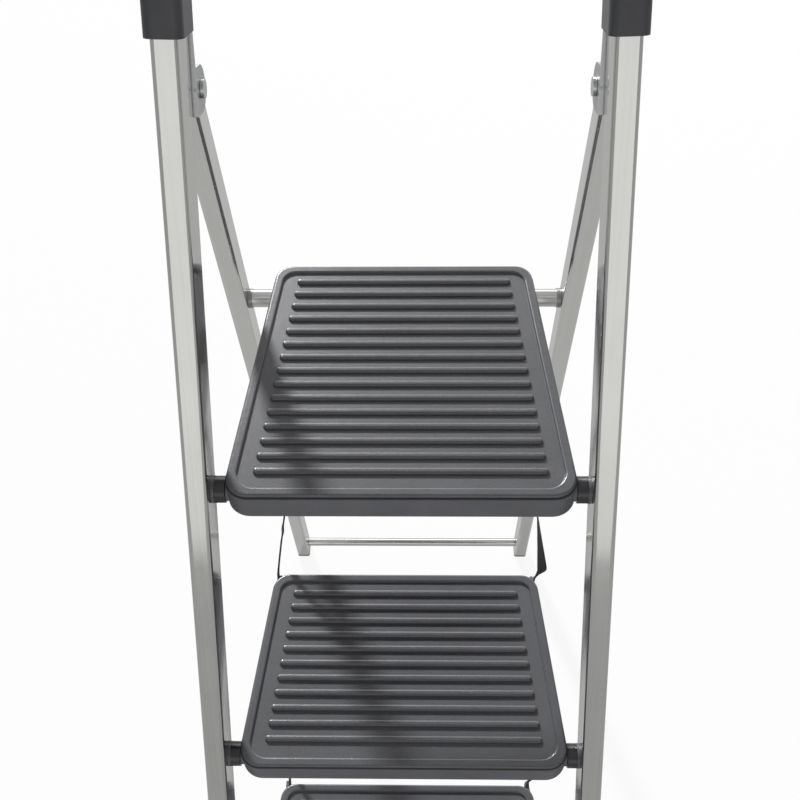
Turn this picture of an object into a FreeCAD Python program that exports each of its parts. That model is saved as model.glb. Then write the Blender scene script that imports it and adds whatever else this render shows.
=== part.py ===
import FreeCAD, Part

import math
import os

import Sketcher
from FreeCAD import Placement, Rotation, Vector

# A three-step folding step stool. Millimetres, +Z up, the user climbs from -Y.
# The front frame carries the handrail and the three pivoting steps. The rear frame
# hinges behind it and carries the platform on its upper cross tube.

doc = FreeCAD.newDocument("FoldingStepStool")
dims = doc.addObject("Spreadsheet::Sheet", "Dims")

SIZES = {
    # steps
    "stepRise": 258.5,
    "platformWidth": 290.0,
    "platformDepth": 257.0,
    "treadDepth": 200.0,
    "sideTaper": 0.103,
    "stepThickness": 30.2,
    "coverThickness": 3.8,
    "coverInset": 1.2,
    "skirtWall": 3.0,
    "topPlate": 4.0,
    "frontCornerRadius": 20.0,
    "rearCornerRadius": 17.0,
    "rimWidth": 9.3,
    "panelRecess": 2.4,
    "ribWidth": 6.6,
    "ribHeight": 3.0,
    "ribPitch": 15.05,
    "ribSideGap": 12.7,
    "ribShift": 2.7,
    "pivotBack": 19.5,
    "pivotDrop": 19.0,
    "skirtBottomRadius": 1.2,
    "skirtTopRadius": 2.0,
    "coverTopRadius": 2.2,
    "bossRadius": 9.6,
    # front frame
    "frontLean": 26.0,
    "frontSplay": 1.83,
    "frontRailWidth": 19.0,
    "frontRailDepth": 43.0,
    "frontRailWall": 2.0,
    "frontRailRadius": 4.2,
    "frontStandOff": 28.8,
    "railAboveHinge": 60.0,
    "handrailTube": 22.0,
    "handrailWall": 1.6,
    "handrailReach": 118.0,
    "handrailBend": 62.0,
    # rear frame
    "rearLean": 11.5,
    "rearSplay": 0.7,
    "rearRailWidth": 18.0,
    "rearRailDepth": 26.0,
    "rearRailWall": 1.6,
    "rearRailRadius": 3.0,
    "rearStandOff": 22.0,
    "upperTubeDiameter": 17.0,
    "upperTubeBack": 251.0,
    "tubeUnderSkirt": 0.7,
    "lowerTubeDiameter": 12.0,
    "lowerTubeHeight": 32.0,
    "tubeWall": 1.5,
    "collarWall": 0.8,
    "collarLength": 4.0,
    # pivots and small parts
    "axleDiameter": 8.0,
    "sleeveDiameter": 22.4,
    "washerDiameter": 22.8,
    "washerThickness": 2.6,
    "washerPlay": 0.42,
    "hingePinDiameter": 8.0,
    "bracketPlate": 2.5,
    "hingeGap": 4.0,
    "saddleWidth": 26.0,
    "strapWidth": 10.0,
    "strapThickness": 1.5,
    "strapPinDiameter": 4.0,
    "strapInnerHalf": 100.0,
    "strapAnchorBack": 204.0,
    "strapAnchorDrop": 18.0,
    "footWall": 1.5,
    "footHeight": 34.0,
    "rearFootHeight": 9.0,
    "runningClearance": 0.1,
    "sideClearance": 0.4,
    "earFromCorner": 2.5,
    "bodyClearance": 0.3,
}
for row, (alias, value) in enumerate(SIZES.items(), start=1):
    dims.set("A%d" % row, alias)
    dims.set("B%d" % row, str(value))
    dims.setAlias("B%d" % row, alias)
doc.recompute()


def size(alias):
    return SIZES[alias]


# ---------------------------------------------------------------- shared geometry
def tan_deg(angle):
    return math.tan(math.radians(angle))


def cos_deg(angle):
    return math.cos(math.radians(angle))


def sin_deg(angle):
    return math.sin(math.radians(angle))


platformHeight = 3 * size("stepRise")
pivotHeight = platformHeight - size("pivotDrop")
# the upper cross tube runs just below the platform's skirt
upperTubeDrop = size("stepThickness") + size("tubeUnderSkirt") + size("upperTubeDiameter") / 2
tubeHeight = platformHeight - upperTubeDrop
frontSlope = tan_deg(size("frontLean"))
rearSlope = tan_deg(size("rearLean"))
halfFrontDepth = size("frontRailDepth") / 2
halfRearDepth = size("rearRailDepth") / 2


# plane of each frame: distance behind the platform's front edge at a height
def front_back_at(height):
    return size("pivotBack") + (height - pivotHeight) * frontSlope


def rear_back_at(height):
    return size("upperTubeBack") - (height - tubeHeight) * rearSlope


# the assembly is centred on Y=0 between the front and rear feet
frontToe = front_back_at(0) - (halfFrontDepth + size("footWall")) / cos_deg(size("frontLean"))
rearToe = rear_back_at(0) + halfRearDepth / cos_deg(size("rearLean"))
shiftY = -(frontToe + rearToe) / 2


def front_y(height):
    return front_back_at(height) + shiftY


def rear_y(height):
    return rear_back_at(height) + shiftY


# the rails' outer faces stand off the platform's front corners by a fixed margin at its level
def front_x(height):
    middle = size("platformWidth") / 2 + size("frontStandOff") - size("frontRailWidth") / 2
    return middle + tan_deg(size("frontSplay")) * (platformHeight - height)


def rear_x(height):
    middle = size("platformWidth") / 2 + size("rearStandOff") - size("rearRailWidth") / 2
    return middle + tan_deg(size("rearSplay")) * (platformHeight - height)


# the frame hinge lies on the rear rail's middle line, behind the front rail
hingeOffset = halfFrontDepth + halfRearDepth + size("hingeGap")
hingeHeight = (
    size("upperTubeBack")
    + tubeHeight * rearSlope
    - size("pivotBack")
    + pivotHeight * frontSlope
    - hingeOffset / cos_deg(size("frontLean"))
) / (frontSlope + rearSlope)
hingeY = rear_y(hingeHeight)
# foot of the hinge on the front rail's middle line
hingeFootHeight = hingeHeight + hingeOffset * sin_deg(size("frontLean"))

# rails are turned by lean about X, then by splay about Y, side is +1 or -1
frontTilt = math.degrees(math.atan(frontSlope * cos_deg(size("frontSplay"))))
rearTilt = math.degrees(math.atan(rearSlope * cos_deg(size("rearSplay"))))
X_AXIS = Vector(1, 0, 0)
Y_AXIS = Vector(0, 1, 0)


def front_rotation(side):
    splay = Rotation(Y_AXIS, -side * size("frontSplay"))
    return splay.multiply(Rotation(X_AXIS, -frontTilt))


def rear_rotation(side):
    splay = Rotation(Y_AXIS, -side * size("rearSplay"))
    return splay.multiply(Rotation(X_AXIS, rearTilt))


def front_along(height):
    return height / (cos_deg(frontTilt) * cos_deg(size("frontSplay")))


def rear_along(height):
    return height / (cos_deg(rearTilt) * cos_deg(size("rearSplay")))


def front_place(side):
    return Placement(Vector(side * front_x(0), front_y(0), 0), front_rotation(side))


def rear_place(side):
    return Placement(Vector(side * rear_x(0), rear_y(0), 0), rear_rotation(side))


lean_only = Rotation(X_AXIS, -size("frontLean"))
railTopAlong = front_along(hingeFootHeight) + size("railAboveHinge")
railTopHeight = railTopAlong * cos_deg(frontTilt) * cos_deg(size("frontSplay"))

STEPS = {
    "platform": {"level": 3, "depth": size("platformDepth")},
    "middle": {"level": 2, "depth": size("treadDepth")},
    "bottom": {"level": 1, "depth": size("treadDepth")},
}
for entry in STEPS.values():
    drop = platformHeight - entry["level"] * size("stepRise")
    entry["pivot_height"] = pivotHeight - drop
    entry["width"] = size("platformWidth") + 2 * tan_deg(size("frontSplay")) * drop

exports = []


# ---------------------------------------------------------------- small builders
def new_body(name):
    body = doc.addObject("PartDesign::Body", name)
    body.Label = name
    return body


def origin_plane(body, role):
    for item in body.Origin.OriginFeatures:
        if item.Role == role:
            return item
    raise ValueError(role)


def new_sketch(body, role, offset=0.0):
    sketch = body.newObject("Sketcher::SketchObject", body.Name + "_sketch")
    sketch.AttachmentSupport = (origin_plane(body, role), [""])
    sketch.MapMode = "FlatFace"
    sketch.AttachmentOffset = Placement(Vector(0, 0, offset), Rotation())
    return sketch


def closed_lines(sketch, points):
    first = sketch.GeometryCount
    count = len(points)
    for i in range(count):
        a = points[i]
        b = points[(i + 1) % count]
        sketch.addGeometry(Part.LineSegment(Vector(a[0], a[1], 0), Vector(b[0], b[1], 0)), False)
    for i in range(count):
        follow = (i + 1) % count
        sketch.addConstraint(Sketcher.Constraint("Coincident", first + i, 2, first + follow, 1))
    return first


def rectangle(sketch, width, depth, width_expression="", depth_expression="", centre=(0.0, 0.0)):
    cx, cy = centre
    hw = width / 2
    hd = depth / 2
    corners = [(cx - hw, cy - hd), (cx + hw, cy - hd), (cx + hw, cy + hd), (cx - hw, cy + hd)]
    first = closed_lines(sketch, corners)
    for i in (0, 2):
        sketch.addConstraint(Sketcher.Constraint("Horizontal", first + i))
    for i in (1, 3):
        sketch.addConstraint(Sketcher.Constraint("Vertical", first + i))
    wide = sketch.addConstraint(Sketcher.Constraint("DistanceX", first, 1, first, 2, width))
    deep = sketch.addConstraint(Sketcher.Constraint("DistanceY", first + 1, 1, first + 1, 2, depth))
    sketch.addConstraint(Sketcher.Constraint("DistanceX", -1, 1, first, 1, cx - hw))
    left = sketch.ConstraintCount - 1
    sketch.addConstraint(Sketcher.Constraint("DistanceY", -1, 1, first, 1, cy - hd))
    low = sketch.ConstraintCount - 1
    if width_expression:
        sketch.setExpression("Constraints[%d]" % wide, width_expression)
        if cx == 0.0:
            sketch.setExpression("Constraints[%d]" % left, "-(%s) / 2" % width_expression)
    if depth_expression:
        sketch.setExpression("Constraints[%d]" % deep, depth_expression)
        if cy == 0.0:
            sketch.setExpression("Constraints[%d]" % low, "-(%s) / 2" % depth_expression)


def circle(sketch, radius, expression="", centre=(0.0, 0.0)):
    middle = Vector(centre[0], centre[1], 0)
    index = sketch.addGeometry(Part.Circle(middle, Vector(0, 0, 1), radius), False)
    rule = sketch.addConstraint(Sketcher.Constraint("Radius", index, radius))
    if expression:
        sketch.setExpression("Constraints[%d]" % rule, expression)


def rounded_outline(sketch, points, radii):
    """Closed outline of straight sides joined by tangent arcs at each corner."""
    count = len(points)
    starts = []
    ends = []
    middles = []
    for i in range(count):
        corner = Vector(points[i][0], points[i][1], 0)
        before = Vector(points[i - 1][0], points[i - 1][1], 0) - corner
        after = Vector(points[(i + 1) % count][0], points[(i + 1) % count][1], 0) - corner
        before.normalize()
        after.normalize()
        half = before.getAngle(after) / 2
        reach = radii[i] / math.tan(half)
        bisector = before + after
        bisector.normalize()
        centre = corner + bisector * (radii[i] / math.sin(half))
        starts.append(corner + before * reach)
        ends.append(corner + after * reach)
        middles.append(centre - bisector * radii[i])
    for i in range(count):
        sketch.addGeometry(Part.Arc(starts[i], middles[i], ends[i]), False)
        sketch.addGeometry(Part.LineSegment(ends[i], starts[(i + 1) % count]), False)


def pad(body, sketch, length, expression="", midplane=False, reverse=False):
    feature = body.newObject("PartDesign::Pad", body.Name + "_pad")
    feature.Profile = sketch
    feature.Length = length
    feature.Midplane = midplane
    feature.Reversed = reverse
    if expression:
        feature.setExpression("Length", expression)
    sketch.Visibility = False
    return feature


def pocket(body, sketch, length, expression="", midplane=False, reverse=False):
    before = doc_volume(body)
    feature = body.newObject("PartDesign::Pocket", body.Name + "_pocket")
    feature.Profile = sketch
    feature.Length = length
    feature.Midplane = midplane
    feature.Reversed = reverse
    if expression:
        feature.setExpression("Length", expression)
    doc.recompute()
    if not body.Shape.Volume < before - 0.01:
        raise RuntimeError("a cut in %s removed nothing" % body.Name)
    return feature


def doc_volume(body):
    doc.recompute()
    return body.Shape.Volume


def edges_where(feature, test):
    names = []
    for i, edge in enumerate(feature.Shape.Edges, start=1):
        if test(edge):
            names.append("Edge%d" % i)
    return names


def along_z(edge):
    a = edge.Vertexes[0].Point
    b = edge.Vertexes[-1].Point
    return len(edge.Vertexes) == 2 and math.hypot(a.x - b.x, a.y - b.y) < 1e-6


def at_height(level):
    def test(edge):
        box = edge.BoundBox
        return abs(box.ZMin - level) < 1e-4 and abs(box.ZMax - level) < 1e-4

    return test


def fillet(body, feature, test, radius, expression=""):
    doc.recompute()
    names = edges_where(feature, test)
    rounded = body.newObject("PartDesign::Fillet", body.Name + "_fillet")
    rounded.Base = (feature, names)
    rounded.Radius = radius
    if expression:
        rounded.setExpression("Radius", expression)
    doc.recompute()
    return rounded


def done(body, placement=None):
    if placement is not None:
        body.Placement = placement
    doc.recompute()
    exports.append(body)
    return body


def block(name, width, depth, height, placement, rules=None):
    item = doc.addObject("Part::Box", name)
    item.Length = width
    item.Width = depth
    item.Height = height
    for prop, rule in (rules or {}).items():
        item.setExpression(prop, rule)
    shift = Placement(Vector(-width / 2, -depth / 2, 0), Rotation())
    item.Placement = placement.multiply(shift)
    return item


def round_corners(name, item, radius):
    """Rounds the four upright edges of a block."""
    doc.recompute()
    upright = item.Height.Value
    rounded = doc.addObject("Part::Fillet", name)
    rounded.Base = item
    rounded.Edges = [
        (i, radius, radius)
        for i, edge in enumerate(item.Shape.Edges, start=1)
        if abs(edge.Length - upright) < 1e-6
    ]
    return rounded


def rod(name, radius, length, placement, rule=""):
    item = doc.addObject("Part::Cylinder", name)
    item.Radius = radius
    item.Height = length
    if rule:
        item.setExpression("Radius", rule)
    item.Placement = placement
    return item


def fuse(name, items):
    item = doc.addObject("Part::MultiFuse", name)
    item.Shapes = items
    return item


def cut(name, base, tool):
    item = doc.addObject("Part::Cut", name)
    item.Base = base
    item.Tool = tool
    return item


def export_part(item, label):
    item.Label = label
    doc.recompute()
    exports.append(item)
    return item


def group_solids(label, items):
    """Identical small parts share one node as separate solids."""
    item = doc.addObject("Part::Compound", label)
    item.Links = items
    return export_part(item, label)


TOWARD_X = Rotation(Y_AXIS, 90)


def at(x, y, z, rotation=None):
    return Placement(Vector(x, y, z), rotation or Rotation())


def side_name(side):
    return "right" if side > 0 else "left"


# ---------------------------------------------------------------- front frame
axleAlongs = [front_along(entry["pivot_height"]) for entry in STEPS.values()]
railStart = 14.0
axleHoleRadius = size("axleDiameter") / 2 + 0.5
rivetRadius = 2.5
rivetAlongs = [front_along(hingeFootHeight) + 22.0, front_along(hingeFootHeight) + 35.0]

for side in (1, -1):
    name = "front_rail_" + side_name(side)
    body = new_body(name)
    outer = new_sketch(body, "XY_Plane", railStart)
    rectangle(
        outer,
        size("frontRailWidth"),
        size("frontRailDepth"),
        "Dims.frontRailWidth",
        "Dims.frontRailDepth",
    )
    solid = pad(body, outer, railTopAlong - railStart)
    rounded = fillet(body, solid, along_z, size("frontRailRadius"), "Dims.frontRailRadius")
    inner = new_sketch(body, "XY_Plane", railStart - 1)
    wall = size("frontRailWall")
    rectangle(
        inner,
        size("frontRailWidth") - 2 * wall,
        size("frontRailDepth") - 2 * wall,
        "Dims.frontRailWidth - 2 * Dims.frontRailWall",
        "Dims.frontRailDepth - 2 * Dims.frontRailWall",
    )
    pocket(body, inner, railTopAlong + 20, reverse=True)
    # axle holes go through the inner wall only
    innerWall = -side * (size("frontRailWidth") - wall) / 2
    holes = new_sketch(body, "YZ_Plane", innerWall)
    for along in axleAlongs:
        circle(holes, axleHoleRadius, centre=(0.0, along))
    pocket(body, holes, wall + 1.2, midplane=True)
    # rivet holes go through the rear wall only
    rivets = new_sketch(body, "XZ_Plane", -(halfFrontDepth + 1))
    for along in rivetAlongs:
        circle(rivets, rivetRadius + 0.1, centre=(-side * 5.0, along))
    pocket(body, rivets, wall + 2, reverse=True)
    done(body, front_place(side))

    # foot: a moulded shoe round the rail, cut level with the floor
    place = front_place(side)
    shoe = block(
        "front_shoe_" + side_name(side),
        size("frontRailWidth") + 2 * size("footWall"),
        halfFrontDepth * 2 + 2 * size("footWall"),
        size("footHeight") + 30,
        place.multiply(at(0, 0, -30)),
        {
            "Length": "Dims.frontRailWidth + 2 * Dims.footWall",
            "Width": "Dims.frontRailDepth + 2 * Dims.footWall",
            "Height": "Dims.footHeight + 30",
        },
    )
    soft = round_corners("front_shoe_round_" + side_name(side), shoe, size("frontRailRadius"))
    room = block(
        "front_shoe_room_" + side_name(side),
        size("frontRailWidth") + 0.1,
        size("frontRailDepth") + 0.1,
        size("footHeight") + 20,
        place.multiply(at(0, 0, railStart)),
    )
    floor = block("front_floor_" + side_name(side), 160, 200, 80, at(side * front_x(0), front_y(0), -80))
    hollow = fuse("front_foot_tools_" + side_name(side), [room, floor])
    foot = cut("front_foot_cut_" + side_name(side), soft, hollow)
    export_part(foot, "front_foot_" + side_name(side))

    # cap: closes the rail and holds the end of the handrail
    capWall = 4.0
    capWide = size("handrailTube") + 2 * 3.0
    capDeep = size("frontRailDepth") + 2 * 3.0
    capLow = 16.0
    capHigh = 20.0
    cap = new_body("rail_cap_" + side_name(side))
    shell = new_sketch(cap, "XY_Plane", -capLow)
    rectangle(shell, capWide, capDeep, "Dims.handrailTube + 6", "Dims.frontRailDepth + 6")
    capSolid = pad(cap, shell, capLow + capHigh)
    capRound = fillet(cap, capSolid, along_z, 8.0)
    fillet(cap, capRound, at_height(capHigh), 3.0)
    seat = new_sketch(cap, "XY_Plane", -capLow)
    rectangle(seat, size("frontRailWidth") + 0.1, size("frontRailDepth") + 0.1)
    pocket(cap, seat, capLow, reverse=True)
    socket = new_sketch(cap, "XY_Plane", capHigh)
    circle(socket, size("handrailTube") / 2 + 0.3, "Dims.handrailTube / 2 + 0.3")
    pocket(cap, socket, capHigh - capWall)
    done(cap, place.multiply(at(0, 0, railTopAlong)))

# handrail: one bent tube, both ends seated in the caps
topX = front_x(railTopHeight)
startUp = capWall + 0.6
reach = size("handrailReach")
splaySin = sin_deg(size("frontSplay"))
splayCos = cos_deg(size("frontSplay"))
rail_direction = Vector(-splaySin, splayCos, 0)
foot_point = Vector(topX, 0, 0) + rail_direction * startUp
corner_point = Vector(topX, 0, 0) + rail_direction * (reach / splayCos)
turn = 90 - size("frontSplay")
tangent = size("handrailBend") * tan_deg(turn / 2)
bend_start = corner_point - rail_direction * tangent
bend_end = corner_point + Vector(-tangent, 0, 0)
bend_centre = bend_end + Vector(0, -size("handrailBend"), 0)
toward_corner = corner_point - bend_centre
toward_corner.normalize()
bend_middle = bend_centre + toward_corner * size("handrailBend")


def mirrored(point):
    return Vector(-point.x, point.y, 0)


hoop = new_body("handrail")
path = new_sketch(hoop, "XZ_Plane")
path.addGeometry(Part.LineSegment(foot_point, bend_start), False)
path.addGeometry(Part.Arc(bend_start, bend_middle, bend_end), False)
path.addGeometry(Part.LineSegment(bend_end, mirrored(bend_end)), False)
path.addGeometry(Part.Arc(mirrored(bend_end), mirrored(bend_middle), mirrored(bend_start)), False)
path.addGeometry(Part.LineSegment(mirrored(bend_start), mirrored(foot_point)), False)
profile = new_sketch(hoop, "XY_Plane", foot_point.y)
circle(profile, size("handrailTube") / 2, "Dims.handrailTube / 2", (foot_point.x, 0.0))
circle(
    profile,
    size("handrailTube") / 2 - size("handrailWall"),
    "Dims.handrailTube / 2 - Dims.handrailWall",
    (foot_point.x, 0.0),
)
pipe = hoop.newObject("PartDesign::AdditivePipe", "handrail_pipe")
pipe.Profile = profile
pipe.Spine = (path, ["Edge1", "Edge2", "Edge3", "Edge4", "Edge5"])
pipe.Mode = "Frenet"
done(hoop, at(0, front_y(railTopHeight), railTopHeight, lean_only))

# ---------------------------------------------------------------- rear frame
rearStart = size("rearFootHeight")
kneeDrop = 16.0
hingeAlong = rear_along(hingeHeight)
for side in (1, -1):
    place = rear_place(side)
    body = new_body("rear_rail_" + side_name(side))
    outer = new_sketch(body, "XY_Plane", rearStart)
    rectangle(
        outer,
        size("rearRailWidth"),
        size("rearRailDepth"),
        "Dims.rearRailWidth",
        "Dims.rearRailDepth",
    )
    solid = pad(body, outer, hingeAlong - kneeDrop - rearStart)
    fillet(body, solid, along_z, size("rearRailRadius"), "Dims.rearRailRadius")
    inner = new_sketch(body, "XY_Plane", rearStart - 1)
    rectangle(
        inner,
        size("rearRailWidth") - 2 * size("rearRailWall"),
        size("rearRailDepth") - 2 * size("rearRailWall"),
        "Dims.rearRailWidth - 2 * Dims.rearRailWall",
        "Dims.rearRailDepth - 2 * Dims.rearRailWall",
    )
    pocket(body, inner, hingeAlong + 20, reverse=True)
    done(body, place)

    # knuckle: plugs the top of the rail and turns on the hinge pin
    tongueWide = size("rearRailWidth") - 2 * size("rearRailWall") - 0.2
    tongueDeep = size("rearRailDepth") - 2 * size("rearRailWall") - 0.2
    knuckle = new_body("hinge_knuckle_" + side_name(side))
    neck = new_sketch(knuckle, "XY_Plane", -kneeDrop)
    rectangle(
        neck,
        size("rearRailWidth"),
        size("rearRailDepth"),
        "Dims.rearRailWidth",
        "Dims.rearRailDepth",
    )
    neckSolid = pad(knuckle, neck, kneeDrop)
    fillet(knuckle, neckSolid, along_z, size("rearRailRadius"), "Dims.rearRailRadius")
    eye = new_sketch(knuckle, "YZ_Plane")
    circle(eye, halfRearDepth, "Dims.rearRailDepth / 2")
    pad(knuckle, eye, size("rearRailWidth"), "Dims.rearRailWidth", midplane=True)
    tongue = new_sketch(knuckle, "XY_Plane", -kneeDrop - 28)
    rectangle(tongue, tongueWide, tongueDeep)
    pad(knuckle, tongue, 29)
    bore = new_sketch(knuckle, "YZ_Plane")
    bore.AttachmentOffset = Placement(Vector(0, 0, 0), Rotation(X_AXIS, side * size("rearSplay")))
    circle(bore, size("hingePinDiameter") / 2 + 0.08, "Dims.hingePinDiameter / 2 + 0.08")
    pocket(knuckle, bore, size("rearRailWidth") + 4, midplane=True)
    done(knuckle, place.multiply(at(0, 0, hingeAlong)))

    # foot: end plug flush with the rail, cut level with the floor
    tip = block(
        "rear_tip_" + side_name(side),
        size("rearRailWidth"),
        size("rearRailDepth"),
        size("rearFootHeight") + 30,
        place.multiply(at(0, 0, -30)),
        {
            "Length": "Dims.rearRailWidth",
            "Width": "Dims.rearRailDepth",
            "Height": "Dims.rearFootHeight + 30",
        },
    )
    plug = block(
        "rear_plug_" + side_name(side),
        tongueWide,
        tongueDeep,
        24,
        place.multiply(at(0, 0, size("rearFootHeight") - 1)),
    )
    floor = block("rear_floor_" + side_name(side), 160, 200, 80, at(side * rear_x(0), rear_y(0), -80))
    tipRound = round_corners("rear_tip_round_" + side_name(side), tip, size("rearRailRadius"))
    whole = fuse("rear_foot_whole_" + side_name(side), [tipRound, plug])
    export_part(cut("rear_foot_cut_" + side_name(side), whole, floor), "rear_foot_" + side_name(side))


def rear_inner(height):
    return rear_x(height) - size("rearRailWidth") / 2 / cos_deg(size("rearSplay"))


def tube_body(name, diameter, diameter_rule, half_length, place):
    body = new_body(name)
    ring = new_sketch(body, "YZ_Plane")
    circle(ring, diameter / 2, diameter_rule + " / 2")
    circle(ring, diameter / 2 - size("tubeWall"), diameter_rule + " / 2 - Dims.tubeWall")
    pad(body, ring, 2 * half_length, midplane=True)
    return done(body, place)


collarPlay = 0.25
upperHalf = rear_inner(tubeHeight) - collarPlay
tube_body("upper_cross_tube", size("upperTubeDiameter"), "Dims.upperTubeDiameter", upperHalf,
          at(0, rear_y(tubeHeight), tubeHeight))
lowerHeight = size("lowerTubeHeight")
lowerHalf = rear_inner(lowerHeight) - collarPlay
tube_body("lower_cross_tube", size("lowerTubeDiameter"), "Dims.lowerTubeDiameter", lowerHalf,
          at(0, rear_y(lowerHeight), lowerHeight))


def ring_part(name, outer_radius, inner_radius, length, place, outer_rule=""):
    """A plain ring with its axis along X."""
    whole = rod(name + "_outer", outer_radius, length, place.multiply(at(0, 0, 0, TOWARD_X)), outer_rule)
    hole = rod(name + "_hole", inner_radius, length + 2, place.multiply(at(-1, 0, 0, TOWARD_X)))
    return cut(name, whole, hole)


collars = []
for side in (1, -1):
    inner_end = upperHalf - size("collarLength")
    low = inner_end if side > 0 else -upperHalf
    collars.append(
        ring_part(
            "upper_collar_" + side_name(side),
            size("upperTubeDiameter") / 2 + size("collarWall"),
            size("upperTubeDiameter") / 2 + 0.03,
            size("collarLength"),
            at(low, rear_y(tubeHeight), tubeHeight),
            "Dims.upperTubeDiameter / 2 + Dims.collarWall",
        )
    )
group_solids("tube_collars", collars)

# ---------------------------------------------------------------- frame hinge
plate = size("bracketPlate")
rivets = []
for side in (1, -1):
    name = side_name(side)
    centreX = side * rear_x(hingeHeight)
    place = at(centreX, hingeY, hingeHeight, lean_only)
    gapHalf = size("rearRailWidth") / 2 + size("sideClearance")
    webFront = -(hingeOffset - halfFrontDepth) + 0.3
    cheekReach = -webFront
    cheekHigh = 34.0
    items = []
    for cheek in (1, -1):
        cheekX = cheek * (gapHalf + plate / 2)
        items.append(
            block(
                "cheek_%s_%s" % (name, "out" if cheek > 0 else "in"),
                plate,
                cheekReach,
                cheekHigh,
                place.multiply(at(cheekX, webFront / 2, -cheekHigh / 2)),
                {"Length": "Dims.bracketPlate"},
            )
        )
        items.append(
            rod(
                "cheek_nose_%s_%s" % (name, "out" if cheek > 0 else "in"),
                cheekHigh / 2,
                plate,
                place.multiply(at(cheekX - plate / 2, 0, 0, TOWARD_X)),
            )
        )
    webHigh = cheekHigh / 2 + 42
    items.append(
        block(
            "web_" + name,
            2 * (gapHalf + plate),
            plate,
            webHigh,
            place.multiply(at(0, webFront + plate / 2, -cheekHigh / 2)),
            {"Width": "Dims.bracketPlate"},
        )
    )
    bracket = fuse("bracket_whole_" + name, items)
    tools = [
        rod(
            "bracket_bore_" + name,
            size("hingePinDiameter") / 2 + 0.08,
            60,
            place.multiply(at(-30, 0, 0, TOWARD_X)),
            "Dims.hingePinDiameter / 2 + 0.08",
        )
    ]
    # two rivets above the hinge hold the web to the rear wall of the rail
    railPlace = front_place(side)
    toRear = Rotation(X_AXIS, -90)
    for i, along in enumerate(rivetAlongs):
        shankFrom = halfFrontDepth - size("frontRailWall") - 2.0
        shankPlace = railPlace.multiply(at(-side * 5.0, shankFrom, along, toRear))
        headPlace = railPlace.multiply(at(-side * 5.0, halfFrontDepth + plate + 0.55, along, toRear))
        tools.append(rod("rivet_hole_%s_%d" % (name, i), rivetRadius + 0.1, 30, shankPlace))
        shankLong = halfFrontDepth + plate + 1.0 - shankFrom
        shank = rod("rivet_shank_%s_%d" % (name, i), rivetRadius, shankLong, shankPlace)
        head = doc.addObject("Part::Cone", "rivet_head_%s_%d" % (name, i))
        head.Radius1 = 2 * rivetRadius
        head.Radius2 = 1.1 * rivetRadius
        head.Height = 1.8
        head.Placement = headPlace
        rivets.append(fuse("rivet_%s_%d" % (name, i), [shank, head]))
    bracket_tools = fuse("bracket_tools_" + name, tools)
    export_part(cut("bracket_cut_" + name, bracket, bracket_tools), "hinge_bracket_" + name)

    # pin with a head at each end, outside both cheeks
    pinHalf = gapHalf + plate + 0.25
    headThick = 2.6
    pin_items = [
        rod(
            "pin_shank_" + name,
            size("hingePinDiameter") / 2,
            2 * pinHalf + 2,
            place.multiply(at(-pinHalf - 1, 0, 0, TOWARD_X)),
            "Dims.hingePinDiameter / 2",
        ),
        rod("pin_head_" + name, 7.0, headThick, place.multiply(at(pinHalf, 0, 0, TOWARD_X))),
        rod(
            "pin_tail_" + name,
            7.0,
            headThick,
            place.multiply(at(-pinHalf - headThick, 0, 0, TOWARD_X)),
        ),
    ]
    export_part(fuse("pin_whole_" + name, pin_items), "hinge_pin_" + name)
group_solids("bracket_rivets", rivets)

# ---------------------------------------------------------------- steps
thick = size("stepThickness")
bodyTop = size("pivotDrop") - size("coverThickness")
bodyLow = size("pivotDrop") - thick
frontEdge = -size("pivotBack")
taper = size("sideTaper")
earThick = 3.0
earHalf = 6.0
earRoot = 16.0
anchorY = size("strapAnchorBack") - size("pivotBack")
anchorZ = -size("strapAnchorDrop")
boreRadius = size("axleDiameter") / 2 + size("runningClearance")
pinBoreRadius = size("strapPinDiameter") / 2 + 0.06
pinBoreRule = "Dims.strapPinDiameter / 2 + 0.06"


def outline(half_front, depth, inset):
    """Corner points of the tapered plan, drawn in by an even margin."""
    slant = math.sqrt(1 + taper * taper)
    low = frontEdge + inset
    high = frontEdge + depth - inset
    half_low = half_front - taper * inset - inset * slant
    half_high = half_front - taper * (depth - inset) - inset * slant
    return [(-half_low, low), (half_low, low), (half_high, high), (-half_high, high)]


def half_width_at(half_front, y):
    return half_front - taper * (y - frontEdge)


def panel_lip(half_front, depth):
    """Picks the upper edges of the sunk panel, which lie well inside the outline."""

    def test(edge):
        if not at_height(size("pivotDrop"))(edge):
            return False
        margins = []
        for corner in edge.Vertexes:
            y = corner.Point.y
            margins.append(half_width_at(half_front, y) - abs(corner.Point.x))
            margins.append(y - frontEdge)
            margins.append(frontEdge + depth - y)
        return min(margins) > size("rimWidth") - 2.0

    return test


def ear_x(step_name):
    """Half distance between the strap ears of a step."""
    entry = STEPS[step_name]
    if step_name == "platform":
        return size("strapInnerHalf")
    rear_half = half_width_at(entry["width"] / 2, frontEdge + entry["depth"])
    return rear_half - size("earFromCorner")


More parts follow.
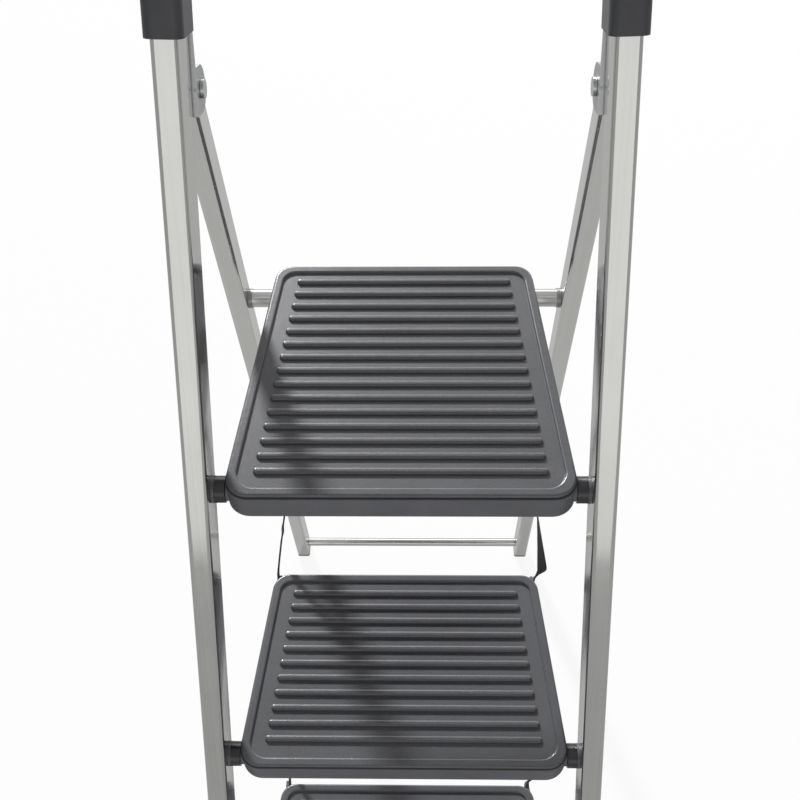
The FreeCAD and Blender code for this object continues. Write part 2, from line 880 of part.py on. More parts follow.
for step_name, entry in STEPS.items():
    half_front = entry["width"] / 2
    depth = entry["depth"]
    place = at(0, front_y(entry["pivot_height"]), entry["pivot_height"])
    radii = [size("frontCornerRadius")] * 2 + [size("rearCornerRadius")] * 2
    wall = size("skirtWall")

    body = new_body(step_name + "_body")
    plan = new_sketch(body, "XY_Plane", bodyLow)
    rounded_outline(plan, outline(half_front, depth, 0.0), radii)
    solid = pad(body, plan, thick - size("coverThickness"), "Dims.stepThickness - Dims.coverThickness")
    low = fillet(body, solid, at_height(bodyLow), size("skirtBottomRadius"), "Dims.skirtBottomRadius")
    fillet(body, low, at_height(bodyTop), size("skirtTopRadius"), "Dims.skirtTopRadius")
    cavity = new_sketch(body, "XY_Plane", bodyLow - 1)
    rounded_outline(cavity, outline(half_front, depth, wall), [r - wall for r in radii])
    cavityDeep = thick - size("coverThickness") - size("topPlate") + 1
    cavityRule = "Dims.stepThickness - Dims.coverThickness - Dims.topPlate + 1"
    pocket(body, cavity, cavityDeep, cavityRule, reverse=True)
    # stiffening webs under the top plate
    webLow = bodyLow + 2.0
    webHigh = bodyTop - size("topPlate") + 1 - webLow
    lengthwise = new_sketch(body, "XY_Plane", webLow)
    webBack = frontEdge + depth - wall / 2
    webFrontY = frontEdge + wall / 2
    for x in (-size("strapInnerHalf"), 0.0, size("strapInnerHalf")):
        rectangle(lengthwise, earThick, webBack - webFrontY, centre=(x, (webBack + webFrontY) / 2))
    pad(body, lengthwise, webHigh)
    crosswise = new_sketch(body, "XY_Plane", webLow)
    for share in (0.4, 0.72):
        y = frontEdge + depth * share
        rectangle(crosswise, 2 * (half_width_at(half_front, y + 2) - wall / 2), 2.4, centre=(0.001, y))
    pad(body, crosswise, webHigh)
    # boss for the pivot axle, standing out of the rounded front corners to meet the sleeves
    sideFace = half_width_at(half_front, 0.0)
    boss = new_sketch(body, "YZ_Plane")
    circle(boss, size("bossRadius"), "Dims.bossRadius")
    pad(body, boss, 2 * sideFace, midplane=True)
    # ears that hold the webbing straps
    ears = new_sketch(body, "YZ_Plane")
    earLow = anchorZ - earHalf
    earHigh = bodyLow + 6.0
    earCentre = (anchorY + (earHalf - earRoot) / 2, (earLow + earHigh) / 2)
    rectangle(ears, earRoot + earHalf, earHigh - earLow, centre=earCentre)
    spacing = ear_x(step_name)
    ears.AttachmentOffset = at(0, 0, spacing - earThick / 2)
    pad(body, ears, earThick)
    ears_left = new_sketch(body, "YZ_Plane", -spacing - earThick / 2)
    rectangle(ears_left, earRoot + earHalf, earHigh - earLow, centre=earCentre)
    pad(body, ears_left, earThick)
    bores = new_sketch(body, "YZ_Plane")
    circle(bores, boreRadius, "Dims.axleDiameter / 2 + Dims.runningClearance")
    circle(bores, pinBoreRadius, pinBoreRule, (anchorY, anchorZ))
    pocket(body, bores, entry["width"] + 20, midplane=True)
    done(body, place)

    cover = new_body(step_name + "_tread")
    plan = new_sketch(cover, "XY_Plane", bodyTop)
    inset = size("coverInset")
    rounded_outline(plan, outline(half_front, depth, inset), [r - inset for r in radii])
    slab = pad(cover, plan, size("coverThickness"), "Dims.coverThickness")
    soft = fillet(
        cover,
        slab,
        at_height(size("pivotDrop")),
        size("coverTopRadius"),
        "Dims.coverTopRadius",
    )
    fillet(cover, soft, at_height(bodyTop), 1.3)
    rim = size("rimWidth")
    panel = new_sketch(cover, "XY_Plane", size("pivotDrop"))
    rounded_outline(panel, outline(half_front, depth, rim), [r - rim / 2 for r in radii])
    dip = pocket(cover, panel, size("panelRecess"), "Dims.panelRecess")
    floorZ = size("pivotDrop") - size("panelRecess")
    lip = fillet(cover, dip, panel_lip(half_front, depth), 1.8)
    fillet(cover, lip, at_height(floorZ), 0.5)
    ribs = new_sketch(cover, "XY_Plane", floorZ - 0.5)
    count = int((depth - 2 * rim - 8) / size("ribPitch"))
    middle = frontEdge + depth / 2 + size("ribShift")
    halfRib = size("ribWidth") / 2
    for i in range(count):
        y = middle + (i - (count - 1) / 2) * size("ribPitch")
        reachX = half_width_at(half_front, y) - rim - size("ribSideGap") - halfRib
        right = Vector(reachX, y, 0)
        left = Vector(-reachX, y, 0)
        up = Vector(0, halfRib, 0)
        across = Vector(halfRib, 0, 0)
        ribs.addGeometry(Part.LineSegment(left - up, right - up), False)
        ribs.addGeometry(Part.Arc(right - up, right + across, right + up), False)
        ribs.addGeometry(Part.LineSegment(right + up, left + up), False)
        ribs.addGeometry(Part.Arc(left + up, left - across, left - up), False)
    ridge = pad(cover, ribs, size("ribHeight") + 0.5, "Dims.ribHeight + 0.5")
    fillet(cover, ridge, at_height(floorZ + size("ribHeight")), 2.6)
    done(cover, place)

    # axle: one steel rod between the rails, with a cap nut inside each rail
    railInner = front_x(entry["pivot_height"]) - size("frontRailWidth") / 2 / splayCos
    wallFace = railInner + size("frontRailWall") / splayCos
    axleHalf = wallFace + 5.0
    entry["nut_start"] = wallFace + 0.3
    axle = new_body(step_name + "_axle")
    round_bar = new_sketch(axle, "YZ_Plane")
    circle(round_bar, size("axleDiameter") / 2, "Dims.axleDiameter / 2")
    pad(axle, round_bar, 2 * axleHalf, midplane=True)
    done(axle, place)

    # spacers between rail and step: a flanged washer against the rail, then a sleeve
    washers = []
    washerEnd = railInner - size("washerPlay")
    washerStart = washerEnd - size("washerThickness")
    for side in (1, -1):
        low = washerStart if side > 0 else -washerEnd
        washers.append(
            ring_part(
                "%s_washer_%s" % (step_name, side_name(side)),
                size("washerDiameter") / 2,
                size("axleDiameter") / 2 + 0.05,
                size("washerThickness"),
                place.multiply(at(low, 0, 0)),
                "Dims.washerDiameter / 2",
            )
        )
        sleeveLong = washerStart - sideFace - size("sideClearance")
        low = sideFace + size("sideClearance") if side > 0 else -washerStart
        sleeve = ring_part(
            "%s_sleeve_cut_%s" % (step_name, side_name(side)),
            size("sleeveDiameter") / 2,
            size("axleDiameter") / 2 + 0.05,
            sleeveLong,
            place.multiply(at(low, 0, 0)),
            "Dims.sleeveDiameter / 2",
        )
        export_part(sleeve, "%s_sleeve_%s" % (step_name, side_name(side)))
    group_solids(step_name + "_washers", washers)

# cap nuts on the axle ends, inside the hollow rails
nuts = []
for step_name, entry in STEPS.items():
    for side in (1, -1):
        label = "%s_%s" % (step_name, side_name(side))
        place = at(side * entry["nut_start"], front_y(entry["pivot_height"]), entry["pivot_height"])
        outward = Rotation(Y_AXIS, side * 90)
        hexagon = doc.addObject("Part::Prism", "nut_hex_" + label)
        hexagon.Polygon = 6
        hexagon.Circumradius = 8.0
        hexagon.Height = 5.5
        hexagon.Placement = place.multiply(at(0, 0, 0, outward))
        dome = rod("nut_dome_" + label, 6.4, 4.0, place.multiply(at(side * 4.5, 0, 0, outward)))
        thread = rod(
            "nut_thread_" + label,
            size("axleDiameter") / 2 + 0.02,
            5.2,
            place.multiply(at(-side * 0.2, 0, 0, outward)),
        )
        nuts.append(cut("nut_" + label, fuse("nut_whole_" + label, [hexagon, dome]), thread))
group_solids("axle_nuts", nuts)

# ---------------------------------------------------------------- platform saddles
tubeFromPivotY = size("upperTubeBack") - size("pivotBack")
tubeFromPivotZ = tubeHeight - pivotHeight
platformPlace = at(0, front_y(pivotHeight), pivotHeight)
tubeRadius = size("upperTubeDiameter") / 2
platformBackY = frontEdge + size("platformDepth")
for side in (1, -1):
    name = side_name(side)
    saddleX = side * 62.0
    saddleFront = tubeFromPivotY - tubeRadius - 5.0
    saddleDeep = platformBackY - 1.0 - saddleFront
    saddleLow = tubeFromPivotZ + 3.0
    saddleTop = bodyTop - size("topPlate") - 0.3
    solid = block(
        "saddle_block_" + name,
        size("saddleWidth"),
        saddleDeep - wall - 0.3,
        saddleTop - saddleLow,
        platformPlace.multiply(at(saddleX, saddleFront + (saddleDeep - wall - 0.3) / 2, saddleLow)),
        {"Length": "Dims.saddleWidth"},
    )
    groove = rod(
        "saddle_groove_" + name,
        tubeRadius + 0.2,
        size("saddleWidth") + 4,
        platformPlace.multiply(
            at(saddleX - size("saddleWidth") / 2 - 2, tubeFromPivotY, tubeFromPivotZ, TOWARD_X)
        ),
        "Dims.upperTubeDiameter / 2 + 0.2",
    )
    export_part(cut("saddle_cut_" + name, solid, groove), "tube_saddle_" + name)

# ---------------------------------------------------------------- webbing straps
strapSpan = size("stepRise") / cos_deg(size("frontLean"))
halfThick = size("strapThickness") / 2
offEar = earThick / 2 + size("bodyClearance") + halfThick


def strap(name, side, step_name, x_top, x_low):
    """Flat webbing between two ears, bent straight over each ear."""
    entry = STEPS[step_name]
    body = new_body(name)
    shape = new_sketch(body, "XZ_Plane")
    run = side * (x_low - x_top)
    tab = 18.0
    end = 5.0
    points = [
        (-halfThick, end),
        (halfThick, end),
        (halfThick, -tab),
        (run + halfThick, -strapSpan + tab),
        (run + halfThick, -strapSpan - end),
        (run - halfThick, -strapSpan - end),
        (run - halfThick, -strapSpan + tab),
        (-halfThick, -tab),
    ]
    closed_lines(shape, points)
    pad(body, shape, size("strapWidth"), "Dims.strapWidth", midplane=True)
    holes = new_sketch(body, "YZ_Plane")
    circle(holes, pinBoreRadius, pinBoreRule, (0.0, 0.0))
    circle(holes, pinBoreRadius, pinBoreRule, (0.0, -strapSpan))
    pocket(body, holes, 4 * abs(run) + 20, midplane=True)
    pivot_y = front_y(entry["pivot_height"]) + anchorY
    pivot_z = entry["pivot_height"] + anchorZ
    return done(body, at(side * x_top, pivot_y, pivot_z, lean_only))


for side in (1, -1):
    name = side_name(side)
    strap("upper_strap_" + name, side, "platform", ear_x("platform") + offEar, ear_x("middle") + offEar)
    strap("lower_strap_" + name, side, "middle", ear_x("middle") - offEar, ear_x("bottom") - offEar)

# pins through the ears and straps, headed at both ends
PIN_REACH = {
    "platform": (-earThick / 2 - 0.4, offEar + halfThick + 0.4),
    "middle": (-offEar - halfThick - 0.4, offEar + halfThick + 0.4),
    "bottom": (-offEar - halfThick - 0.4, earThick / 2 + 0.4),
}
for step_name, (inner, outer) in PIN_REACH.items():
    entry = STEPS[step_name]
    pins = []
    for side in (1, -1):
        label = "%s_%s" % (step_name, side_name(side))
        y = front_y(entry["pivot_height"]) + anchorY
        z = entry["pivot_height"] + anchorZ
        near = side * (ear_x(step_name) + inner)
        far = side * (ear_x(step_name) + outer)
        low = min(near, far)
        span = abs(far - near)
        radius = size("strapPinDiameter") / 2
        items = [
            rod(
                "strap_pin_shank_" + label,
                radius,
                span + 2,
                at(low - 1, y, z, TOWARD_X),
                "Dims.strapPinDiameter / 2",
            ),
            rod("strap_pin_head_" + label, 1.9 * radius, 1.4, at(low + span, y, z, TOWARD_X)),
            rod("strap_pin_tail_" + label, 1.9 * radius, 1.4, at(low - 1.4, y, z, TOWARD_X)),
        ]
        pins.append(fuse("strap_pin_" + label, items))
    group_solids("strap_pins_" + step_name, pins)

# ---------------------------------------------------------------- check and export
doc.recompute()
for item in doc.Objects:
    for state in ("Invalid", "Error"):
        if state in item.State:
            raise RuntimeError("%s is %s" % (item.Label, state))
for item in exports:
    if item.Shape.isNull() or not item.Shape.isValid():
        raise RuntimeError("%s has a bad shape" % item.Label)

os.makedirs("parts", exist_ok=True)
for item in exports:
    item.Shape.exportStep("parts/%s.step" % item.Label)
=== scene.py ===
import math

import bpy
from mathutils import Matrix, Vector


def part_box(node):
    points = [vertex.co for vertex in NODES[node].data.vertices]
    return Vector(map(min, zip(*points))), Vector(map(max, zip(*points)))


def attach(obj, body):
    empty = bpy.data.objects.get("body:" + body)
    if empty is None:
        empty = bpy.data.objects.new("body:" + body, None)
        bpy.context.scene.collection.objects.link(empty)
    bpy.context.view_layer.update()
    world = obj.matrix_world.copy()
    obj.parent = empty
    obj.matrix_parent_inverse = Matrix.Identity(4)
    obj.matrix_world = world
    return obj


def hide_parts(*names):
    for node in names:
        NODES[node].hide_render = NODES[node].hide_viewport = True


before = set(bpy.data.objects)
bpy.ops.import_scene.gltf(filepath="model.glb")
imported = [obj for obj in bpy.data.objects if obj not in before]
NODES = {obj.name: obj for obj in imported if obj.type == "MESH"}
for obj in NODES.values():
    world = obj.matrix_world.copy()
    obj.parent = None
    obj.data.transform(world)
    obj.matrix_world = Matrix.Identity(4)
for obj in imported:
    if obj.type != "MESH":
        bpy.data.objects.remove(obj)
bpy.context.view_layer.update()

# Metres, +Z up. The user climbs from -Y.
FRONT_LEAN = math.radians(26.0)
REAR_LEAN = math.radians(11.5)
STEP_RISE = 0.2585

# The seam under a tread's lid, measured down from the tread's top. Painted shade darkens it, standing in
# for the groove's shadow: fully within SEAM_FULL of that depth, and not at all from SEAM_FADED on.
SEAM_DEPTH = 0.0040
SEAM_FULL = 0.0006
SEAM_FADED = 0.0013
# grey level and strength of the painted shade in the seam
SEAM_SHADE_LEVEL = 16
SEAM_SHADE_STRENGTH = 0.9
# The wear on rib tops grows from this far below a tread's top to this far above it.
WEAR_BELOW = 0.0007
WEAR_ABOVE = 0.0001

# Camera: place in metres, turns in degrees, focal length in millimetres.
CAMERA_PLACE = (0.0188, -0.5029, 1.5311)
CAMERA_PITCH = 52.434
CAMERA_YAW = -1.991
CAMERA_ROLL = 1.568
CAMERA_LENS = 50.578

# How much of the white background the camera and reflections see. The floor is also dimmer in
# reflections than to the camera.
FLOOR_SEEN = {"camera": 0.9, "glossy": 0.8}
WORLD_SEEN = {"camera": 1.0, "glossy": 0.4}
FLOOR_REFLECTED = 0.46
FLOOR_ALBEDO = 0.72
FLOOR_HALF = 15.0
SOFTBOX_AIM = (0.0, 0.0, 0.8)


# ---------------------------------------------------------------- camera
def place_camera():
    """Puts the camera in front of the platform and above it, looking down."""
    pitch, yaw, roll = (math.radians(a) for a in (CAMERA_PITCH, CAMERA_YAW, CAMERA_ROLL))
    aim = Vector((math.sin(yaw) * math.cos(pitch), math.cos(yaw) * math.cos(pitch), -math.sin(pitch)))
    level = Vector((math.cos(yaw), -math.sin(yaw), 0.0))
    down = aim.cross(level)
    right = level * math.cos(roll) + down * math.sin(roll)
    up = level * math.sin(roll) - down * math.cos(roll)
    data = bpy.data.cameras.new("camera")
    data.sensor_width = 36.0
    data.lens = CAMERA_LENS
    data.clip_end = 60.0
    camera = bpy.data.objects.new("camera", data)
    turn = Matrix((right, up, -aim)).transposed().to_4x4()
    camera.matrix_world = Matrix.Translation(CAMERA_PLACE) @ turn
    bpy.context.collection.objects.link(camera)
    bpy.context.scene.camera = camera


# ---------------------------------------------------------------- node helpers
class Shade:
    """A material's node tree with short calls for the nodes used here."""

    def __init__(self, name, **constants):
        self.material = bpy.data.materials.new(name)
        self.material.use_nodes = True
        self.tree = self.material.node_tree
        self.tree.nodes.clear()
        output = self.tree.nodes.new("ShaderNodeOutputMaterial")
        self.shader = self.tree.nodes.new("ShaderNodeBsdfPrincipled")
        self.tree.links.new(self.shader.outputs[0], output.inputs[0])
        for key, value in constants.items():
            self.shader.inputs[key.replace("_", " ")].default_value = value

    def node(self, kind, values=(), **settings):
        """A node whose inputs are numbers, colours or another node's output."""
        made = self.tree.nodes.new(kind)
        for key, value in settings.items():
            setattr(made, key, value)
        for key, value in dict(values).items():
            if isinstance(value, bpy.types.NodeSocket):
                self.tree.links.new(value, made.inputs[key])
            else:
                made.inputs[key].default_value = value
        return made

    def coordinates(self, size=(1.0, 1.0, 1.0), lean=0.0, source="Object"):
        """Rest position, or the UV, turned back by the lean about X and divided by a feature size."""
        place = self.node("ShaderNodeTexCoord").outputs[source]
        values = {"Vector": place, "Rotation": (lean, 0.0, 0.0), "Scale": size}
        return self.node("ShaderNodeMapping", values, vector_type="TEXTURE").outputs[0]

    def noise(self, where, detail=3.0, rough=0.55, distortion=0.0):
        values = {"Vector": where, "Scale": 1.0, "Detail": detail, "Roughness": rough}
        values["Distortion"] = distortion
        return self.node("ShaderNodeTexNoise", values).outputs[0]

    def cells(self, where, feature="F1", smooth=0.6):
        values = {"Vector": where, "Scale": 1.0}
        if feature == "SMOOTH_F1":
            values["Smoothness"] = smooth
        return self.node("ShaderNodeTexVoronoi", values, feature=feature).outputs["Distance"]

    def span(self, value, low, high, to_low=0.0, to_high=1.0):
        values = {"Value": value, "From Min": low, "From Max": high}
        values.update({"To Min": to_low, "To Max": to_high})
        return self.node("ShaderNodeMapRange", values, clamp=True).outputs[0]

    def math(self, operation, a, b=0.0, c=0.0):
        made = self.node("ShaderNodeMath", {0: a, 1: b}, operation=operation)
        if operation == "WRAP":
            made.inputs[2].default_value = c
        return made.outputs[0]

    def mix(self, factor, a, b):
        made = self.node("ShaderNodeMix", data_type="RGBA")
        for index, value in ((0, factor), (6, a), (7, b)):
            if isinstance(value, bpy.types.NodeSocket):
                self.tree.links.new(value, made.inputs[index])
            else:
                made.inputs[index].default_value = value
        return made.outputs[2]

    def edge(self, radius, low, high):
        """1 on outer and inner edges, 0 on flat faces."""
        round_normal = self.node("ShaderNodeBevel", {"Radius": radius}, samples=4).outputs[0]
        true_normal = self.node("ShaderNodeNewGeometry").outputs["Normal"]
        values = {0: round_normal, 1: true_normal}
        dot = self.node("ShaderNodeVectorMath", values, operation="DOT_PRODUCT").outputs["Value"]
        return self.span(dot, low, high)

    def above_tread(self):
        """Height above the top of the nearest tread."""
        place = self.node("ShaderNodeTexCoord").outputs["Object"]
        height = self.node("ShaderNodeSeparateXYZ", {0: place}).outputs["Z"]
        return self.math("WRAP", height, STEP_RISE / 2, -STEP_RISE / 2)

    def seam(self):
        """1 in the groove between a tread's lid and its body, where painted shade darkens the colour."""
        offset = self.math("ABSOLUTE", self.math("ADD", self.above_tread(), SEAM_DEPTH))
        return self.span(offset, SEAM_FULL, SEAM_FADED, 1.0, 0.0)

    def drafted_normal(self, lean, draft):
        """Shades the side faces as if turned a little towards the front; their mesh stays flat."""
        normal = self.node("ShaderNodeTexCoord").outputs["Normal"]
        sideways = self.node("ShaderNodeSeparateXYZ", {0: normal}).outputs["X"]
        share = self.math("ABSOLUTE", sideways)
        forward = (0.0, -math.cos(lean) * draft, math.sin(lean) * draft)
        turn = self.node("ShaderNodeVectorMath", {0: forward, "Scale": share}, operation="SCALE").outputs[0]
        turned = self.node("ShaderNodeVectorMath", {0: normal, 1: turn}, operation="ADD").outputs[0]
        settings = {"vector_type": "NORMAL", "convert_from": "OBJECT", "convert_to": "WORLD"}
        return self.node("ShaderNodeVectorTransform", {0: turned}, **settings).outputs[0]

    def bump(self, *layers, below=None):
        """Layers of (height, depth in metres, strength), the coarse ones first."""
        for height, depth, strength in layers:
            values = {"Height": height, "Distance": depth, "Strength": strength}
            if below is not None:
                values["Normal"] = below
            below = self.node("ShaderNodeBump", values).outputs[0]
        self.tree.links.new(below, self.shader.inputs["Normal"])

    def feed(self, **sockets):
        for key, value in sockets.items():
            self.tree.links.new(value, self.shader.inputs[key.replace("_", " ")])
        return self.material


def grey(level, tint=(1.0, 1.0, 1.0)):
    """An sRGB grey level from 0 to 255, tinted, as a linear colour."""
    share = level / 255.0
    linear = share / 12.92 if share <= 0.04045 else ((share + 0.055) / 1.055) ** 2.4
    return (linear * tint[0], linear * tint[1], linear * tint[2], 1.0)


# ---------------------------------------------------------------- metals
ALUMINIUM_TINT = (1.0, 1.0, 0.965)
# The front rails' side faces are flat and shaded as if turned forward by these radians.
RAIL_DRAFT = 0.034
# Die lines and broader bands that drawing leaves: width across the section, length along it.
DIE_LINE = (0.00022, 0.22)
DIE_BAND = (0.0022, 0.6)


def drawn(mark, along):
    """Feature size of a mark that runs along a section lying on the x or z axis."""
    width, length = mark
    return (length, width, width) if along == "x" else (width, width, length)


def aluminium(name, lean, light, dark, rough, along="z", grain=1.0, draft=0.0):
    """Drawn aluminium: fine die lines along the section, faint clouding, worn edges."""
    shade = Shade(name, Metallic=1.0)
    lines = shade.noise(shade.coordinates(drawn(DIE_LINE, along), lean), 4.0, 0.6)
    bands = shade.noise(shade.coordinates(drawn(DIE_BAND, along), lean), 2.0, 0.5)
    cloud = shade.noise(shade.coordinates((0.05, 0.05, 0.05)), 4.0, 0.6)
    scuffs = shade.noise(shade.coordinates((0.0011, 0.0011, 0.009), lean + 0.35), 5.0, 0.7)
    worn = shade.edge(0.0011, 0.985, 0.80)
    tone = shade.math("ADD", shade.span(lines, 0.3, 0.7, 0.0, 0.45), shade.span(bands, 0.3, 0.7, 0.0, 0.4))
    tone = shade.math("ADD", tone, shade.span(cloud, 0.35, 0.65, 0.0, 0.3))
    colour = shade.mix(tone, grey(dark, ALUMINIUM_TINT), grey(light, ALUMINIUM_TINT))
    marks = shade.span(scuffs, 0.70, 0.80, 0.0, 0.3)
    colour = shade.mix(marks, colour, grey(dark - 30))
    base_rough = shade.math("ADD", shade.span(lines, 0.3, 0.7, rough - 0.02, rough + 0.03),
                            shade.span(cloud, 0.35, 0.65, 0.0, 0.04))
    roughness = shade.math("ADD", base_rough, shade.span(worn, 0.0, 1.0, 0.0, 0.07))
    below = shade.drafted_normal(-lean, draft) if draft else None
    shade.bump((bands, 0.00005, 0.25 * grain), (lines, 0.00002, 0.45 * grain), below=below)
    return shade.feed(Base_Color=colour, Roughness=roughness)


def cut_steel(name, level, rough):
    """Zinc-plated steel: cloudy plating, small pits, bright worn edges."""
    shade = Shade(name, Metallic=1.0)
    cloud = shade.noise(shade.coordinates((0.006, 0.006, 0.006)), 5.0, 0.65, 0.6)
    pits = shade.cells(shade.coordinates((0.0009, 0.0009, 0.0009)))
    worn = shade.edge(0.0006, 0.97, 0.75)
    colour = shade.mix(shade.span(cloud, 0.3, 0.7), grey(level - 22, (0.98, 1.0, 1.03)), grey(level))
    colour = shade.mix(shade.span(worn, 0.0, 1.0, 0.0, 0.5), colour, grey(min(level + 35, 250)))
    roughness = shade.span(cloud, 0.3, 0.7, rough - 0.06, rough + 0.08)
    shade.bump((cloud, 0.00008, 0.15), (pits, 0.00003, 0.2))
    return shade.feed(Base_Color=colour, Roughness=roughness)


# ---------------------------------------------------------------- plastics
def moulded(name, level, tint, rough, grain, depth, polish=0.5, gloss=0.5, seam=0.0):
    """Moulded plastic: spark-eroded grain, slight mottling, edges rubbed lighter."""
    shade = Shade(name, IOR=1.5, Specular_IOR_Level=gloss)
    pebble = shade.cells(shade.coordinates((grain, grain, grain)), "SMOOTH_F1")
    sand = shade.noise(shade.coordinates((grain * 0.6,) * 3), 4.0, 0.7)
    mottle = shade.noise(shade.coordinates((0.03, 0.03, 0.03)), 5.0, 0.6)
    worn = shade.edge(0.0009, 0.98, 0.72)
    rub = shade.math("MULTIPLY", worn, shade.span(mottle, 0.35, 0.6))
    colour = shade.mix(shade.span(mottle, 0.3, 0.7), grey(level - 5, tint), grey(level + 5, tint))
    colour = shade.mix(shade.span(rub, 0.0, 1.0, 0.0, 0.45 * polish), colour, grey(level + 34, tint))
    # painted shade: when asked for, the seam under a tread's lid is darkened to a near-black grey, standing
    # in for the groove's shadow
    if seam:
        colour = shade.mix(shade.math("MULTIPLY", shade.seam(), seam), colour, grey(SEAM_SHADE_LEVEL))
    speck = shade.span(sand, 0.36, 0.64, rough - 0.05, rough + 0.06)
    roughness = shade.math("SUBTRACT", speck, shade.span(rub, 0.0, 1.0, 0.0, 0.08 * polish))
    shade.bump((pebble, depth, 0.35), (sand, depth * 0.6, 0.3))
    return shade.feed(Base_Color=colour, Roughness=roughness)


def tread(name, level, tint, rough):
    """Soft-touch tread: sandy grain, with rib tops and rim rubbed by shoes, and painted shade in the seam
    under the lid.
    """
    shade = Shade(name, IOR=1.5, Specular_IOR_Level=0.65)
    tops = shade.span(shade.above_tread(), -WEAR_BELOW, WEAR_ABOVE)
    pebble = shade.cells(shade.coordinates((0.00085,) * 3), "SMOOTH_F1")
    sand = shade.noise(shade.coordinates((0.0005,) * 3), 4.0, 0.7)
    grit = shade.noise(shade.coordinates((0.0011,) * 3), 3.0, 0.65)
    cloud = shade.noise(shade.coordinates((0.045, 0.045, 0.045)), 5.0, 0.62)
    steps = shade.noise(shade.coordinates((0.012, 0.004, 0.012)), 5.0, 0.7)
    rub = shade.math("MULTIPLY", tops, shade.span(steps, 0.4, 0.68))
    colour = shade.mix(shade.span(cloud, 0.3, 0.7), grey(level - 4, tint), grey(level + 4, tint))
    colour = shade.mix(shade.span(rub, 0.0, 1.0, 0.0, 0.4), colour, grey(level + 26, tint))
    colour = shade.mix(shade.span(grit, 0.46, 0.68, 0.0, 0.3), colour, grey(level + 34, tint))
    colour = shade.mix(shade.span(grit, 0.46, 0.32, 0.0, 0.3), colour, grey(level - 40, tint))
    dust = shade.math("SUBTRACT", 1.0, tops)
    colour = shade.mix(shade.math("MULTIPLY", dust, 0.06), colour, grey(150))
    # painted shade: the seam under the lid is darkened to a near-black grey, standing in for the groove's
    # shadow
    colour = shade.mix(shade.math("MULTIPLY", shade.seam(), SEAM_SHADE_STRENGTH), colour, grey(SEAM_SHADE_LEVEL))
    speck = shade.span(sand, 0.36, 0.64, rough - 0.05, rough + 0.06)
    roughness = shade.math("SUBTRACT", speck, shade.span(rub, 0.0, 1.0, 0.0, 0.07))
    shade.bump((grit, 0.00016, 0.5), (pebble, 0.00009, 0.45), (sand, 0.00006, 0.4))
    return shade.feed(Base_Color=colour, Roughness=roughness)


def webbing(name):
    """Black woven webbing: rows of picks across, warp ribs along, from the strap's UV in metres."""
    shade = Shade(name, Specular_IOR_Level=0.35, Sheen_Weight=0.25, Sheen_Roughness=0.5)
    across = shade.coordinates((1.0, 1.0, 1.0), source="UV")
    picks = shade.node("ShaderNodeTexWave", {"Vector": across, "Scale": 130.0, "Distortion": 0.0},
                       wave_type="BANDS", bands_direction="Y").outputs[1]
    warps = shade.node("ShaderNodeTexWave", {"Vector": across, "Scale": 160.0, "Distortion": 0.0},
                       wave_type="BANDS", bands_direction="X").outputs[1]
    weave = shade.math("MULTIPLY", picks, warps)
    fuzz = shade.noise(shade.coordinates((0.0004, 0.0004, 0.0016)), 4.0, 0.7)
    fade = shade.noise(shade.coordinates((0.02, 0.02, 0.04)), 4.0, 0.6)
    colour = shade.mix(weave, grey(30), grey(58, (1.0, 1.0, 1.04)))
    colour = shade.mix(shade.span(fade, 0.4, 0.75, 0.0, 0.3), colour, grey(76))
    roughness = shade.span(fuzz, 0.3, 0.7, 0.55, 0.8)
    shade.bump((weave, 0.00025, 0.7), (fuzz, 0.0001, 0.4))
    return shade.feed(Base_Color=colour, Roughness=roughness)


# ---------------------------------------------------------------- carried-over nodes
COOL = (0.95, 0.97, 1.07)


def dress_nodes():
    """Gives every CAD node the finish of its slot. Rails and collars go by the node's name."""
    finishes = {
        "rail_front": aluminium("rail_front", -FRONT_LEAN, 196, 185, 0.07, grain=0.3, draft=RAIL_DRAFT),
        "rail_rear": aluminium("rail_rear", REAR_LEAN, 222, 212, 0.10, grain=0.5),
        "handrail_tube": aluminium("handrail_tube", -FRONT_LEAN, 214, 200, 0.16),
        "cross_tube": aluminium("cross_tube", 0.0, 208, 190, 0.13, along="x", grain=0.7),
        "steel": cut_steel("steel", 205, 0.25),
        "bracket_steel": cut_steel("bracket_steel", 190, 0.34),
        # the step's body also carries the painted shade in the seam under the tread's lid
        "step_plastic": moulded("step_plastic", 98, COOL, 0.46, 0.0009, 0.00010, seam=SEAM_SHADE_STRENGTH),
        "dark_plastic": moulded("dark_plastic", 62, COOL, 0.42, 0.0008, 0.00009),
        "grey_plastic": moulded("grey_plastic", 132, (1.0, 1.0, 0.99), 0.5, 0.0009, 0.00009),
        "collar_steel": cut_steel("collar_steel", 150, 0.3),
        "sleeve_plastic": moulded("sleeve_plastic", 42, COOL, 0.2, 0.0016, 0.00003, 0.3),
        "washer_plastic": moulded("washer_plastic", 94, COOL, 0.35, 0.0012, 0.00005),
        "foot_rubber": moulded("foot_rubber", 52, COOL, 0.62, 0.0011, 0.00014),
        "tread_cover": tread("tread_cover", 77, COOL, 0.31),
    }
    for node_name, item in NODES.items():
        for place in item.material_slots:
            slot_name = place.material.name.split(".")[0]
            if slot_name == "anodised_rail":
                slot_name = "rail_front" if node_name.startswith("front") else "rail_rear"
            if node_name == "tube_collars":
                slot_name = "collar_steel"
            if slot_name in finishes:
                place.material = finishes[slot_name]


# ---------------------------------------------------------------- webbing straps
STRAP_WIDTH = 0.010
STRAP_HALF_THICK = 0.00075
# Straight lengths below the upper pin and above the lower one, and the tail past each pin.
STRAP_TAB = 0.018
STRAP_FOOT = 0.008
STRAP_PAST_PIN = 0.005
# The strap has shifted sideways to its lower pin by this share of its free run.
STRAP_REACH = 0.96
STRAP_RIBS = 7
STRAP_STATIONS = 150
# Shares of the half thickness: at the selvedge, gained inside it, and on top of a warp rib.
STRAP_EDGE = 0.45
STRAP_BODY = 0.35
STRAP_RIDGE = 0.2
